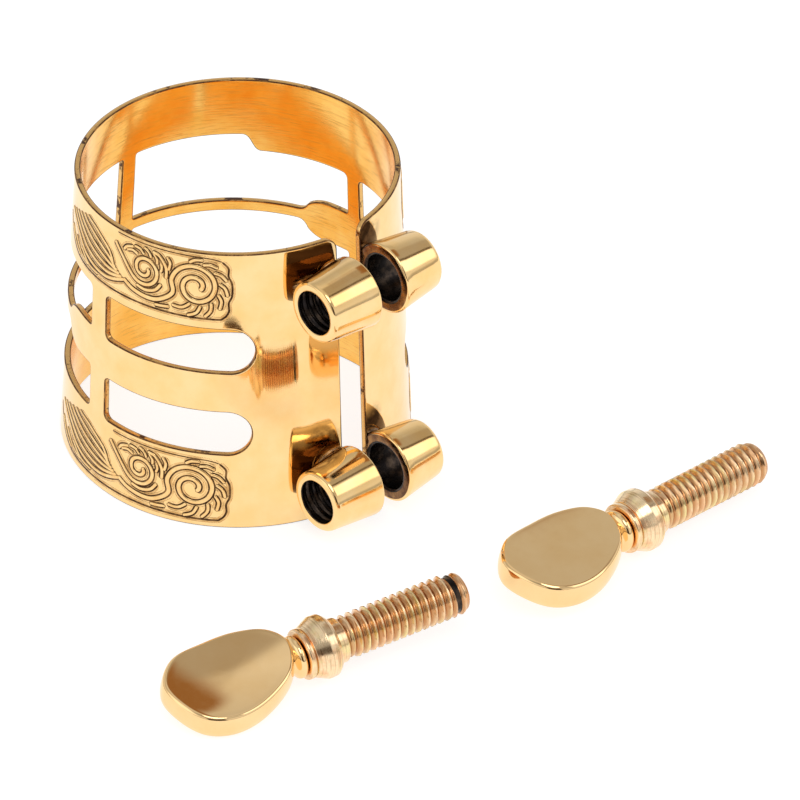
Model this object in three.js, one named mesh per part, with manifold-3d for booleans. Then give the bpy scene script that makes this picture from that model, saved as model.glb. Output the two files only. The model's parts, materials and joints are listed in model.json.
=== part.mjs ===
// Saxophone ligature: a split, tapered sheet band that clamps a reed to a mouthpiece, four soldered
// screw posts, and its two thumbscrews, taken out and lying beside it.
// Millimetres, +Z up. The band stands on z = 0 with its split towards -Y and its screw bores along X.
import * as THREE from "three";
import { mergeVertices } from "three/addons/utils/BufferGeometryUtils.js";
import Module from "manifold-3d";

const wasm = await Module();
wasm.setup();

// ---- Driving dimensions ----

const BAND = {
  height: 24.5,
  bottomRadius: 13.25, // outer, at z = 0
  topRadius: 12.45, // outer, at z = height
  spineBulge: 1.4, // how far the wide end is sprung out of round, at the spine
  thickness: 0.5,
  plateEdge: 5.3, // degrees from the split's centre to the sheet's edge, each side
  plateFlat: 14, // degrees within which the sheet runs straight
  edgeCorner: 1, // radius of the plates' corners
  facet: 5, // degrees of arc per facet
};

// The back of the band is springy sheet: it is parted here, just beside the spine bar.
const FLEX = { angle: 175.6, gap: 0.3 };

// Angles are degrees from the split's centre and mirror on the other side.
const SLOTS = {
  rows: [
    { edges: [6.6, 10.4], roundEnd: 37.5 },
    { edges: [13.9, 17.8], roundEnd: 36 },
  ],
  squareEnd: { left: 94, right: 88.6 },
  corner: 0.5,
};

const BACK = {
  barEnd: { left: 102.5, right: 94.7 },
  spine: { left: 176.4, right: 177.1 },
  shoulder: [6.7, 17.8], // edges of the bottom and top rings next to the side bars
  waist: [6.7, 19.3], // the same edges further round, where the top ring is narrower
  stepStart: 129,
  stepEnd: 136,
  strap: [12.0, 12.95],
  leaf: [10.5, 14.1], // the strap's widening at each side bar
  leafFull: 12, // degrees past the side bar that the widening keeps its width
  leafEnd: 21, // degrees past the side bar at which it has become the strap
};

const POST = {
  gapFace: 1.3, // distance of the posts' gap faces from the split's centre plane
  gapRadius: 2.9,
  edge: 0.3,
  left: { length: 4.5, endRadius: 2.5, bore: 1.75 },
  right: { length: 4.0, endRadius: 2.45, bore: 1.9 },
  lower: { z: 3.7, reach: 15.25 }, // reach: the bore's distance from the band's axis
  upper: { z: 20.9, reach: 15.0 },
  segments: 28,
};

const SOLDER = { thickness: 0.3, margin: 0.35, start: 1.5, end: 4.7, corner: 0.8 };

const SCREW = {
  pitch: 0.65,
  crest: 1.75,
  root: 1.4,
  threadStart: 1.9,
  threadEnd: 11.9,
  tip: 12.3,
  collar: 2.5,
  segments: 20,
  threadRowsPerPitch: 3,
};

// The thumb paddle: [along the screw from its collar, across] round the edge of its flat top.
const PADDLE = {
  outline: [
    [-2.8, 0.6],
    [-3.7, 2.35],
    [-5.9, 3.15],
    [-8.4, 3.27],
    [-11.2, 3.0],
    [-12.95, 1.2],
    [-12.75, -1.1],
    [-11.6, -3.05],
    [-9.5, -3.87],
    [-6.9, -3.45],
    [-4.0, -1.8],
  ],
  centre: -7.9,
  levels: [-1.1, -0.95, -0.6, -0.1, 0.5, 1.1, 1.3, 1.4], // heights above the screw's axis
  swell: [-0.75, -0.2, 0.2, 0.34, 0.34, 0.25, 0.14, 0], // of the wall, level by level
  points: 28,
};

// Where each screw lies: its collar's centre, heading about Z, rise towards the tip and roll.
const LYING = [
  { name: "front", x: -17.13, y: -28.35, heading: -11.9, rise: 3.6, roll: 16 },
  { name: "side", x: 11.95, y: -32.35, heading: -0.3, rise: -0.6, roll: 10 },
];

const CLEARANCE = 0.03; // between pieces that touch on the real object

// ---- Materials ----

function metal(color, roughness) {
  return new THREE.MeshStandardMaterial({ color, roughness, metalness: 1 });
}

const GOLD = metal("#e8b04a", 0.12);
const TURNED = metal("#d9aa5c", 0.32);
const SOLDER_GREY = metal("#8d8577", 0.5);

// ---- Solids ----

function solid(geometry) {
  const bare = geometry.index ? geometry.toNonIndexed() : geometry.clone();
  bare.deleteAttribute("normal");
  bare.deleteAttribute("uv");
  const merged = mergeVertices(bare, 1e-4);
  const mesh = new wasm.Mesh({
    numProp: 3,
    vertProperties: merged.attributes.position.array,
    triVerts: new Uint32Array(merged.index.array),
  });
  return new wasm.Manifold(mesh);
}

function geometryOf(manifold) {
  const mesh = manifold.getMesh();
  const geometry = new THREE.BufferGeometry();
  geometry.setAttribute("position", new THREE.BufferAttribute(mesh.vertProperties, 3));
  geometry.setIndex(new THREE.BufferAttribute(mesh.triVerts, 1));
  const flat = geometry.toNonIndexed();
  flat.computeVertexNormals();
  return flat;
}

function piece(name, geometry, material) {
  const mesh = new THREE.Mesh(geometry, material);
  mesh.name = name;
  return mesh;
}

// Turns a lathe's axis from Y to X.
function alongX(geometry) {
  return geometry.rotateZ(-Math.PI / 2);
}

function moveVertices(geometry, move) {
  const position = geometry.attributes.position;
  const point = new THREE.Vector3();
  for (let i = 0; i < position.count; i += 1) {
    point.fromBufferAttribute(position, i);
    move(point);
    position.setXYZ(i, point.x, point.y, point.z);
  }
  geometry.computeVertexNormals();
  return geometry;
}

// ---- The band ----

const radians = THREE.MathUtils.degToRad;

// A point of the band's plan, at z = 0, with angles counted from the split's centre.
function planPoint(angle, offset) {
  const bend = radians(Math.max(0, BAND.plateFlat - Math.abs(angle)));
  const radius = (BAND.bottomRadius + offset) / Math.cos(bend);
  const turn = radians(angle - 90);
  return new THREE.Vector2(radius * Math.cos(turn), radius * Math.sin(turn));
}

function anglesBetween(from, to) {
  const steps = Math.max(1, Math.round(Math.abs(to - from) / BAND.facet));
  const angles = [];
  for (let i = 0; i <= steps; i += 1) angles.push(from + ((to - from) * i) / steps);
  return angles;
}

// The straight plates and the round part meet at their own angle, so the facets break there.
function bandAngles(from, to) {
  const flat = Math.sign(to) * BAND.plateFlat;
  return [...anglesBetween(from, flat), ...anglesBetween(flat, to).slice(1)];
}

// Narrows a prism towards the top, and springs its wide end out of round at the spine.
function taper(geometry) {
  const slope = (1 - BAND.topRadius / BAND.bottomRadius) / BAND.height;
  return moveVertices(geometry, (point) => {
    const scale = 1 - slope * point.z;
    point.x *= scale;
    point.y *= scale;
    const bulge = (BAND.spineBulge / BAND.bottomRadius) * (1 - point.z / BAND.height);
    if (point.y > 0) point.y *= 1 + bulge;
  });
}

function wall(from, to) {
  const angles = bandAngles(from, to);
  const outer = angles.map((angle) => planPoint(angle, 0));
  const inner = angles.map((angle) => planPoint(angle, -BAND.thickness)).reverse();
  const shape = new THREE.Shape([...outer, ...inner]);
  return solid(taper(new THREE.ExtrudeGeometry(shape, { depth: BAND.height, bevelEnabled: false })));
}

// Everything inside the band's outer face, pushed out by offset.
function core(offset) {
  const half = bandAngles(0, 180).map((angle) => planPoint(angle, offset));
  const other = bandAngles(0, -180).map((angle) => planPoint(angle, offset));
  const shape = new THREE.Shape([...half, ...other.slice(1, -1).reverse()]);
  const block = new THREE.ExtrudeGeometry(shape, { depth: BAND.height + 2, bevelEnabled: false });
  block.translate(0, 0, -1);
  return solid(taper(block));
}

const ARC_MM = (Math.PI / 180) * (BAND.bottomRadius + BAND.topRadius) / 2; // mm of arc per degree

// A cutter through the wall: an outline in mm of arc and height, bent round the band.
function cutter(outline) {
  const step = BAND.facet * ARC_MM;
  const dense = outline.flatMap((point, i) => {
    const next = outline[(i + 1) % outline.length];
    const parts = Math.max(1, Math.ceil(Math.abs(next.x - point.x) / step));
    return Array.from({ length: parts }, (_, k) => point.clone().lerp(next, k / parts));
  });
  const block = new THREE.ExtrudeGeometry(new THREE.Shape(dense), { depth: 1, bevelEnabled: false });
  const innerRadius = 9;
  const outerRadius = 19;
  return solid(
    moveVertices(block, (point) => {
      const turn = radians(point.x / ARC_MM - 90);
      const radius = innerRadius + (outerRadius - innerRadius) * point.z;
      point.set(radius * Math.cos(turn), radius * Math.sin(turn), point.y);
    }),
  );
}

function mirrored(outline, side) {
  if (side > 0) return outline;
  return outline.map((point) => new THREE.Vector2(-point.x, point.y)).reverse();
}

// A slot between a plate and a side bar: a half-round end by the plate, small corners by the bar.
function slotOutline({ edges: [low, high], roundEnd }, squareEnd) {
  const radius = (high - low) / 2;
  const start = roundEnd * ARC_MM + radius;
  const end = squareEnd * ARC_MM;
  const corner = SLOTS.corner;
  const shape = new THREE.Shape();
  shape.moveTo(start, low);
  shape.lineTo(end - corner, low);
  shape.absarc(end - corner, low + corner, corner, -Math.PI / 2, 0, false);
  shape.absarc(end - corner, high - corner, corner, 0, Math.PI / 2, false);
  shape.lineTo(start, high);
  shape.absarc(start, low + radius, radius, Math.PI / 2, Math.PI * 1.5, false);
  return shape.extractPoints(5).shape;
}

// An opening of the back, between a side bar and the spine. ring and strap are the heights of the
// edges next to the bar and at the spine; the strap's edge bulges into the leaf beside the bar.
function backOutline(from, to, ringNear, ringFar, strapEdge, leafEdge) {
  const mm = (angle) => angle * ARC_MM;
  const corner = Math.sign(ringNear - strapEdge) * SLOTS.corner;
  const shape = new THREE.Shape();
  shape.moveTo(mm(from), leafEdge);
  shape.lineTo(mm(from + BACK.leafFull * 0.7), leafEdge);
  const middle = (leafEdge + strapEdge) / 2;
  const turnIn = mm(from + BACK.leafEnd - 4);
  shape.quadraticCurveTo(mm(from + BACK.leafFull + 2), leafEdge, turnIn, middle);
  shape.quadraticCurveTo(turnIn + 0.3, strapEdge, mm(from + BACK.leafEnd), strapEdge);
  shape.lineTo(mm(to), strapEdge);
  shape.lineTo(mm(to), ringFar);
  shape.lineTo(mm(BACK.stepEnd), ringFar);
  const stepMiddle = mm((BACK.stepStart + BACK.stepEnd) / 2);
  shape.bezierCurveTo(stepMiddle, ringFar, stepMiddle, ringNear, mm(BACK.stepStart), ringNear);
  shape.lineTo(mm(from) + SLOTS.corner, ringNear);
  shape.quadraticCurveTo(mm(from), ringNear, mm(from), ringNear - corner);
  const points = shape.extractPoints(5).shape;
  return corner > 0 ? points : points.reverse();
}

// What rounds off the end of a plate at the bottom or the top of the band.
function cornerOutline(high) {
  const edge = BAND.plateEdge * ARC_MM;
  const radius = BAND.edgeCorner;
  const rim = high ? BAND.height : 0;
  const inward = high ? -1 : 1;
  const points = [
    new THREE.Vector2(edge - 0.5, rim - inward * 0.5),
    new THREE.Vector2(edge - 0.5, rim + inward * radius),
  ];
  for (let i = 0; i <= 4; i += 1) {
    const turn = (Math.PI / 2) * (i / 4);
    const x = edge + radius * (1 - Math.cos(turn));
    points.push(new THREE.Vector2(x, rim + inward * radius * (1 - Math.sin(turn))));
  }
  points.push(new THREE.Vector2(edge + radius, rim - inward * 0.5));
  return high ? points : points.reverse();
}

function bandHalf(side) {
  const key = side < 0 ? "left" : "right";
  const gapAngle = FLEX.gap / ARC_MM / 2;
  const end = side < 0 ? 360 - FLEX.angle - gapAngle : FLEX.angle - gapAngle;
  let half = wall(side * BAND.plateEdge, side * end);
  const outlines = SLOTS.rows.map((row) => slotOutline(row, SLOTS.squareEnd[key]));
  outlines.push(
    backOutline(
      BACK.barEnd[key], BACK.spine[key], BACK.shoulder[1], BACK.waist[1], BACK.strap[1], BACK.leaf[1],
    ),
    backOutline(
      BACK.barEnd[key], BACK.spine[key], BACK.shoulder[0], BACK.waist[0], BACK.strap[0], BACK.leaf[0],
    ),
    cornerOutline(false),
    cornerOutline(true),
  );
  for (const outline of outlines) half = half.subtract(cutter(mirrored(outline, side)));
  return half;
}

// The left half reaches past the spine, so the right half's openings cut it there too.
function clearSpine(leftHalf) {
  const [low, high] = [[BACK.waist[0], BACK.strap[0]], [BACK.strap[1], BACK.waist[1]]];
  const from = (FLEX.angle - 2) * ARC_MM;
  const to = BACK.spine.right * ARC_MM;
  return [low, high].reduce((half, [bottom, top]) => {
    const outline = [[from, bottom], [to, bottom], [to, top], [from, top]];
    return half.subtract(cutter(outline.map(([x, y]) => new THREE.Vector2(x, y))));
  }, leftHalf);
}

// ---- The posts and their solder ----

// A shape turned about the post's axis; its profile runs outwards from the gap face.
function turnedPost(side, level, profile) {
  const points = profile.map(([along, radius]) => new THREE.Vector2(radius, along));
  const geometry = alongX(new THREE.LatheGeometry(points, POST.segments));
  if (side < 0) geometry.rotateZ(Math.PI);
  geometry.translate(side * POST.gapFace, -level.reach, level.z);
  return solid(geometry);
}

// A tapered post, bored from end to end.
function boredPost(side, level) {
  const { length, endRadius, bore } = side < 0 ? POST.left : POST.right;
  return turnedPost(side, level, [
    [0, bore],
    [0, POST.gapRadius - POST.edge / 2],
    [POST.edge / 2, POST.gapRadius],
    [length - POST.edge, endRadius],
    [length, endRadius - POST.edge],
    [length, bore],
    [0, bore],
  ]);
}

// The room a post takes up, bore included, with a clearance all round.
function postRoom(side, level) {
  const { length, endRadius } = side < 0 ? POST.left : POST.right;
  return turnedPost(side, level, [
    [-2, 0],
    [-2, POST.gapRadius + CLEARANCE],
    [0, POST.gapRadius + CLEARANCE],
    [length, endRadius + CLEARANCE],
    [length + CLEARANCE, endRadius + CLEARANCE],
    [length + CLEARANCE, 0],
  ]);
}

// Solder: a thin saddle on the sheet round the foot of a post.
function solderSaddle(side, level) {
  const { start, end, corner, margin, thickness } = SOLDER;
  const halfHeight = Math.sqrt(
    POST.gapRadius ** 2 - (level.reach - BAND.bottomRadius) ** 2,
  ) + margin;
  const shape = new THREE.Shape();
  shape.moveTo(start, -halfHeight);
  shape.lineTo(end - corner, -halfHeight + 0.35);
  shape.quadraticCurveTo(end, -halfHeight + 0.35, end, -halfHeight + 0.35 + corner);
  shape.lineTo(end, halfHeight - 0.35 - corner);
  shape.quadraticCurveTo(end, halfHeight - 0.35, end - corner, halfHeight - 0.35);
  shape.lineTo(start, halfHeight);
  const block = new THREE.ExtrudeGeometry(shape, {
    depth: BAND.bottomRadius,
    bevelEnabled: false,
    curveSegments: 4,
  });
  block.rotateX(Math.PI / 2);
  block.translate(0, -BAND.bottomRadius / 2, level.z);
  if (side < 0) block.rotateY(Math.PI).translate(0, 0, 2 * level.z);
  return solid(block)
    .intersect(core(CLEARANCE + thickness))
    .subtract(core(CLEARANCE))
    .subtract(postRoom(side, level));
}

// ---- The thumbscrews, built along +X with the collar at the origin ----

function lathe(profile, segments) {
  const points = profile.map(([along, radius]) => new THREE.Vector2(radius, along));
  return new THREE.LatheGeometry(points, segments);
}

// The crest-to-root wave of a single-start right-hand thread.
function threadRadius(along, turn) {
  const phase = (((along / SCREW.pitch + turn / (2 * Math.PI)) % 1) + 1) % 1;
  const wave = 1 - Math.abs(2 * phase - 1);
  return SCREW.root + (SCREW.crest - SCREW.root) * wave;
}

function threadedRod() {
  const { threadStart, threadEnd, root, crest, collar } = SCREW;
  const body = [
    [-1.97, 0],
    [-1.97, 1.7],
    [-1.75, 2.0],
    [-1.45, 1.95],
    [-0.35, collar],
    [0.3, collar],
    [0.65, 2.2],
    [0.95, crest],
    [1.5, crest],
    [threadStart, root],
  ];
  const rows = Math.round((threadEnd - threadStart) / (SCREW.pitch / SCREW.threadRowsPerPitch));
  for (let i = 1; i < rows; i += 1) {
    body.push([threadStart + ((threadEnd - threadStart) * i) / rows, crest]);
  }
  body.push([threadEnd, root + 0.1], [SCREW.tip, 1.05], [SCREW.tip, 0]);
  const geometry = lathe(body, SCREW.segments);
  const inThread = (along) => along > threadStart + 1e-3 && along < threadEnd - 1e-3;
  moveVertices(geometry, (point) => {
    if (!inThread(point.y)) return;
    const turn = Math.atan2(point.z, point.x);
    const radius = threadRadius(point.y, turn);
    point.x = radius * Math.cos(turn);
    point.z = radius * Math.sin(turn);
  });
  return solid(alongX(geometry));
}

// The paddle's rounded outline, swollen outwards from its centre.
function paddleOutline(swell) {
  const corners = PADDLE.outline.map(([along, across]) => new THREE.Vector3(along, across, 0));
  const curve = new THREE.CatmullRomCurve3(corners, true);
  const centre = new THREE.Vector3(PADDLE.centre, 0, 0);
  return curve.getSpacedPoints(PADDLE.points).slice(1).map((point) => {
    const out = point.sub(centre);
    return out.setLength(out.length() + swell).add(centre);
  });
}

// A closed body through a stack of outlines that all have the same number of points.
function stacked(outlines, levels) {
  const count = outlines[0].length;
  const positions = outlines.flatMap((outline, i) => outline.flatMap(({ x, y }) => [x, y, levels[i]]));
  const last = outlines.length - 1;
  const [under, over] = [outlines.length * count, outlines.length * count + 1];
  positions.push(PADDLE.centre, 0, levels[0], PADDLE.centre, 0, levels[last]);
  const index = [];
  for (let i = 0; i < count; i += 1) {
    const next = (i + 1) % count;
    index.push(under, next, i);
    index.push(over, last * count + i, last * count + next);
    for (let level = 0; level < last; level += 1) {
      const [a, b] = [level * count + i, level * count + next];
      index.push(a, b, b + count, a, b + count, a + count);
    }
  }
  const geometry = new THREE.BufferGeometry();
  geometry.setAttribute("position", new THREE.Float32BufferAttribute(positions, 3));
  geometry.setIndex(index);
  return geometry;
}

function thumbPaddle() {
  const plate = stacked(PADDLE.swell.map(paddleOutline), PADDLE.levels);
  const neck = lathe(
    [[-5, 0], [-5, 0.8], [-3.1, 1.05], [-2.75, 1.3], [-2.5, 1.65], [-2.25, 1.7], [-2.0, 1.5], [-2.0, 0]],
    SCREW.segments,
  );
  return solid(plate).add(solid(alongX(neck)));
}

function lyingScrew(place) {
  const group = new THREE.Group();
  group.add(piece(`thumb_paddle_${place.name}`, geometryOf(thumbPaddle()), GOLD));
  group.add(piece(`threaded_rod_${place.name}`, geometryOf(threadedRod()), TURNED));
  const { heading, rise, roll } = place;
  group.rotation.set(radians(roll), radians(-rise), radians(heading), "ZYX");
  group.position.set(place.x, place.y, SCREW.collar + CLEARANCE);
  return group;
}

// ---- The assembly ----

const ligature = new THREE.Group();
ligature.add(piece("band_left_half", geometryOf(clearSpine(bandHalf(-1))), GOLD));
ligature.add(piece("band_right_half", geometryOf(bandHalf(1)), GOLD));

for (const [levelName, level] of [["lower", POST.lower], ["upper", POST.upper]]) {
  for (const [side, kind] of [[-1, "threaded"], [1, "clearance"]]) {
    const post = boredPost(side, level).subtract(core(CLEARANCE));
    ligature.add(piece(`${kind}_post_${levelName}`, geometryOf(post), GOLD));
    const solder = solderSaddle(side, level);
    ligature.add(piece(`${kind}_solder_${levelName}`, geometryOf(solder), SOLDER_GREY));
  }
}

for (const place of LYING) ligature.add(lyingScrew(place));

// The origin is the centre of the footprint, on the surface that everything stands on.
const group = new THREE.Group();
group.add(ligature);
group.updateMatrixWorld(true);
const box = new THREE.Box3().setFromObject(ligature, true);
ligature.position.set(-(box.min.x + box.max.x) / 2, -(box.min.y + box.max.y) / 2, 0);

export default group;
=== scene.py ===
"""Looks of a saxophone ligature: an engraved gold band with its posts, and two thumbscrews beside it.

Shapes are worked out in millimetres and turned into metres when a mesh is made. Angles along the
band are in degrees from the centre of its split, growing over the right half, the back and the left.
"""

import json
import math

import bpy
import numpy as np
from mathutils import Matrix, Vector
from mathutils.geometry import delaunay_2d_cdt


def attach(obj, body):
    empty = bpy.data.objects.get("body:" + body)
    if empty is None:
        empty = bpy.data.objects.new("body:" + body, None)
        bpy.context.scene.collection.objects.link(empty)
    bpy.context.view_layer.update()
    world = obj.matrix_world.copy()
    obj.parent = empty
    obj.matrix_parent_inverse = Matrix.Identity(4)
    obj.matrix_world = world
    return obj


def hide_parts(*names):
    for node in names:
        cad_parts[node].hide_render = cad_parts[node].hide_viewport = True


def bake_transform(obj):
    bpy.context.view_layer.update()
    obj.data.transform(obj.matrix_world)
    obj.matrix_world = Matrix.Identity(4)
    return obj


MM = 0.001

# ---- Driving dimensions in mm; the sheet, posts and screws match the CAD part ----

HEIGHT = 24.5
BOTTOM_RADIUS = 13.25
TOP_RADIUS = 12.45
SPINE_BULGE = 1.4
THICKNESS = 0.5
PLATE_EDGE = 5.3
PLATE_FLAT = 14.0
EDGE_CORNER = 1.0
ARC = math.radians(1) * (BOTTOM_RADIUS + TOP_RADIUS) / 2  # mm of arc per degree
AROUND = 360 * ARC

SLOT_ROWS = [((6.6, 10.4), 37.5), ((13.9, 17.8), 36.0)]
SLOT_END = {"right": 88.6, "left": 94.0}
BAR_END = {"right": 94.7, "left": 102.5}
SPINE_EDGE = {"right": 177.1, "left": 176.4}
SLOT_CORNER = 0.5
EDGE_ROUND = 0.09
GRID = 0.55
RING_SHOULDER = (6.7, 17.8)
RING_WAIST = (6.7, 19.3)
STRAP = (12.0, 12.95)
LEAF = (10.5, 14.1)
LEAF_FULL, LEAF_END = 12.0, 21.0
STEP_START, STEP_END = 129.0, 136.0
FLEX_ANGLE = 175.6

GAP_FACE = 1.3
GAP_RADIUS = 2.9
POST_SHAPE = {"left": (4.5, 2.5, 1.75), "right": (4.0, 2.45, 1.9)}  # length, end radius, bore radius
POST_LEVEL = {"lower": (3.7, 15.25), "upper": (20.9, 15.0)}  # height, distance from the band's axis

PITCH = 0.65
CREST, ROOT = 1.75, 1.4
BORE_THREAD_DEPTH = 0.22
THREAD_START, THREAD_END = 1.9, 11.9
GROOVE_START, GROOVE_END = 11.0, 11.45  # round the tip of the front screw
ROD_TIP = [  # along the screw, radius
    (11.98, 1.5), (12.06, 1.46), (12.16, 1.36), (12.24, 1.2), (12.29, 1.0), (12.3, 0.7), (12.3, 0.3),
]
POST_SEGMENTS, ROD_SEGMENTS, NECK_SEGMENTS = 96, 80, 64
COLLAR_RADIUS = 2.5
LYING = {  # x and y from the band's centre, heading, rise, roll
    "front": (-17.13, -28.35, -11.9, 3.6, 16),
    "side": (11.95, -32.35, -0.3, -0.6, 10),
}
COLLAR = [  # along the screw, radius, rounding of the corner
    (-1.97, 1.2, 0), (-1.97, 2.02, 0.24), (-1.52, 2.02, 0.12), (-1.44, 1.82, 0.04), (-1.38, 1.99, 0.04),
    (-0.3, 2.5, 0.08), (0.3, 2.48, 0.05), (0.65, 2.2, 0.06), (0.7, 1.8, 0.05), (1.48, 1.78, 0.12),
    (1.72, 1.48, 0.05), (1.84, 1.46, 0),
]
PADDLE_OUTLINE = [
    (-2.8, 0.6), (-3.7, 2.35), (-5.9, 3.15), (-8.4, 3.27), (-11.2, 3.0), (-12.95, 1.2),
    (-12.75, -1.1), (-11.6, -3.05), (-9.5, -3.87), (-6.9, -3.45), (-4.0, -1.8),
]
PADDLE_CENTRE = -7.9
PADDLE_DISH = {"front": 0.25, "side": 0.05}
PADDLE_WALL = [  # height above the screw's axis, swell of the outline
    (-1.1, -0.75), (-0.95, -0.2), (-0.6, 0.2), (-0.1, 0.34), (0.5, 0.34), (1.1, 0.25), (1.3, 0.14),
    (1.4, 0.0),
]
NECK = [  # along the screw, radius: the slim neck, then its bead
    (-5.0, 0.8), (-3.6, 0.95), (-3.2, 1.03), (-3.0, 1.1), (-2.85, 1.2), (-2.74, 1.36), (-2.66, 1.52),
    (-2.55, 1.64), (-2.4, 1.7), (-2.25, 1.7), (-2.12, 1.62), (-2.05, 1.5), (-2.02, 1.3), (-2.0, 1.1),
]
CLEARANCE = 0.03

# ---- Curves ----


def line(start, end, step=0.3):
    """Points from start up to, but not including, end."""
    start, end = np.array(start, float), np.array(end, float)
    count = max(1, math.ceil(np.linalg.norm(end - start) / step))
    return [start + (end - start) * i / count for i in range(count)]


def bezier(*control, count=10):
    """Points of a quadratic or cubic curve, without its last one."""
    points = []
    for i in range(count):
        rest = [np.array(p, float) for p in control]
        t = i / count
        while len(rest) > 1:
            rest = [a + (b - a) * t for a, b in zip(rest, rest[1:])]
        points.append(rest[0])
    return points


def arc(centre, radius, start, end, count):
    """Points of an arc between two angles in degrees, without its last one."""
    turns = [math.radians(start + (end - start) * i / count) for i in range(count)]
    x, y = centre
    return [np.array((x + radius * math.cos(t), y + radius * math.sin(t))) for t in turns]


def smooth_curve(points, step, closed=False):
    """A Catmull-Rom curve through the points, resampled at an even step."""
    p = np.array(points, float)
    count = len(p)
    dense = []
    for i in range(count if closed else count - 1):
        if closed:
            a, b, c, d = (p[(i + k - 1) % count] for k in range(4))
        else:
            a, b, c, d = p[max(i - 1, 0)], p[i], p[i + 1], p[min(i + 2, count - 1)]
        for t in np.linspace(0, 1, 24, endpoint=False):
            dense.append(
                0.5 * (2 * b + (c - a) * t + (2 * a - 5 * b + 4 * c - d) * t**2
                       + (3 * b - a - 3 * c + d) * t**3)
            )
    dense.append(p[0] if closed else p[-1])
    dense = np.array(dense)
    lengths = np.concatenate([[0], np.cumsum(np.linalg.norm(np.diff(dense, axis=0), axis=1))])
    samples = max(2, int(round(lengths[-1] / step)))
    at = np.linspace(0, lengths[-1], samples + 1)
    if closed:
        at = at[:-1]
    return np.stack([np.interp(at, lengths, dense[:, k]) for k in range(dense.shape[1])], axis=1)


# ---- Meshes ----


def make_object(name, points, faces, materials, face_materials=None, matrix=None):
    """A smooth-shaded mesh object from points in mm."""
    mesh = bpy.data.meshes.new(name)
    mesh.from_pydata([tuple(p) for p in np.array(points, float) * MM], [], faces)
    for material in materials:
        mesh.materials.append(material)
    if face_materials is not None:
        mesh.polygons.foreach_set("material_index", np.array(face_materials, np.int32))
    mesh.polygons.foreach_set("use_smooth", np.ones(len(faces), bool))
    mesh.validate()
    mesh.update()
    piece = bpy.data.objects.new(name, mesh)
    bpy.context.scene.collection.objects.link(piece)
    if matrix is not None:
        piece.matrix_world = matrix
    return piece


def ring_faces(first, second, count, closed=True):
    """Quads between two rings of points that start at these indices."""
    last = count if closed else count - 1
    return [
        (first + i, first + (i + 1) % count, second + (i + 1) % count, second + i)
        for i in range(last)
    ]


def bent_tube(profile, segments, closed_profile, radius_at=None):
    """A body turned about X, from (along, radius) pairs. Returns its points and faces."""
    turns = np.linspace(0, 2 * math.pi, segments, endpoint=False)
    points, faces = [], []
    for along, radius in profile:
        radii = np.full(segments, radius) if radius_at is None else radius_at(along, radius, turns)
        here = np.full(segments, along)
        points.extend(np.stack([here, radii * np.cos(turns), radii * np.sin(turns)], 1))
    rows = len(profile)
    for row in range(rows if closed_profile else rows - 1):
        faces += ring_faces(row * segments, ((row + 1) % rows) * segments, segments)
    if not closed_profile:
        start, end = len(points), len(points) + 1
        points.extend([np.array((profile[0][0], 0, 0)), np.array((profile[-1][0], 0, 0))])
        faces += [(start, (i + 1) % segments, i) for i in range(segments)]
        last = (rows - 1) * segments
        faces += [(end, last + i, last + (i + 1) % segments) for i in range(segments)]
    return np.array(points), faces


# ---- Materials ----


class Nodes:
    """A small helper for building one material's node tree."""

    def __init__(self, name):
        self.material = bpy.data.materials.new(name)
        self.material.use_nodes = True
        self.tree = self.material.node_tree
        self.shader = self.tree.nodes["Principled BSDF"]
        self.coordinates = self.add("ShaderNodeTexCoord").outputs["Object"]

    def add(self, kind, **values):
        """A new node with these settings."""
        node = self.tree.nodes.new(kind)
        for key, value in values.items():
            setattr(node, key, value)
        return node

    def link(self, output, target):
        """A wire from an output to an input."""
        self.tree.links.new(output, target)

    def noise(self, scale, detail=3.0, roughness=0.55, stretch=(1, 1, 1)):
        """Noise from 0 to 1 whose features are about 1/scale mm."""
        mapping = self.add("ShaderNodeMapping")
        mapping.inputs["Scale"].default_value = tuple(scale / MM * s for s in stretch)
        self.link(self.coordinates, mapping.inputs["Vector"])
        noise = self.add("ShaderNodeTexNoise")
        noise.inputs["Scale"].default_value = 1.0
        noise.inputs["Detail"].default_value = detail
        noise.inputs["Roughness"].default_value = roughness
        self.link(mapping.outputs["Vector"], noise.inputs["Vector"])
        return noise.outputs["Fac"]

    def spread(self, value, low, high, to_low=0.0, to_high=1.0):
        """The value mapped from one range to another, and held at its ends."""
        node = self.add("ShaderNodeMapRange")
        node.inputs["From Min"].default_value = low
        node.inputs["From Max"].default_value = high
        node.inputs["To Min"].default_value = to_low
        node.inputs["To Max"].default_value = to_high
        self.link(value, node.inputs["Value"])
        return node.outputs["Result"]

    def mix(self, factor, first, second):
        """A colour between two colours or sockets."""
        node = self.add("ShaderNodeMix", data_type="RGBA")
        self.link(factor, node.inputs["Factor"])
        for value, target in ((first, node.inputs["A"]), (second, node.inputs["B"])):
            if isinstance(value, tuple):
                target.default_value = (*value, 1.0)
            else:
                self.link(value, target)
        return node.outputs["Result"]

    def bump(self, height, strength, distance_mm, before=None):
        """A normal bent by a height, over an earlier bump if one is given."""
        node = self.add("ShaderNodeBump")
        node.inputs["Strength"].default_value = strength
        node.inputs["Distance"].default_value = distance_mm * MM
        self.link(height, node.inputs["Height"])
        if before is not None:
            self.link(before, node.inputs["Normal"])
        return node.outputs["Normal"]

    def finish(self, colour, roughness, normal):
        """Wires up the metal's shader and gives the material."""
        self.link(colour, self.shader.inputs["Base Color"])
        self.link(roughness, self.shader.inputs["Roughness"])
        self.link(normal, self.shader.inputs["Normal"])
        self.shader.inputs["Metallic"].default_value = 1.0
        return self.material


GOLD = (1.0, 0.70, 0.34)
DEEP_GOLD = (0.98, 0.63, 0.25)
# Dark brown for painted shade: the posts' shaded sides reflected in the plates, and the shade on each
# post next to its plate.
PAINTED_SHADE_BROWN = (0.085, 0.04, 0.018)
GREY_SOLDER = (0.26, 0.21, 0.16)

# Dark patches on the front plates beside the posts: painted reflections of the posts' shaded sides.
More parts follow.
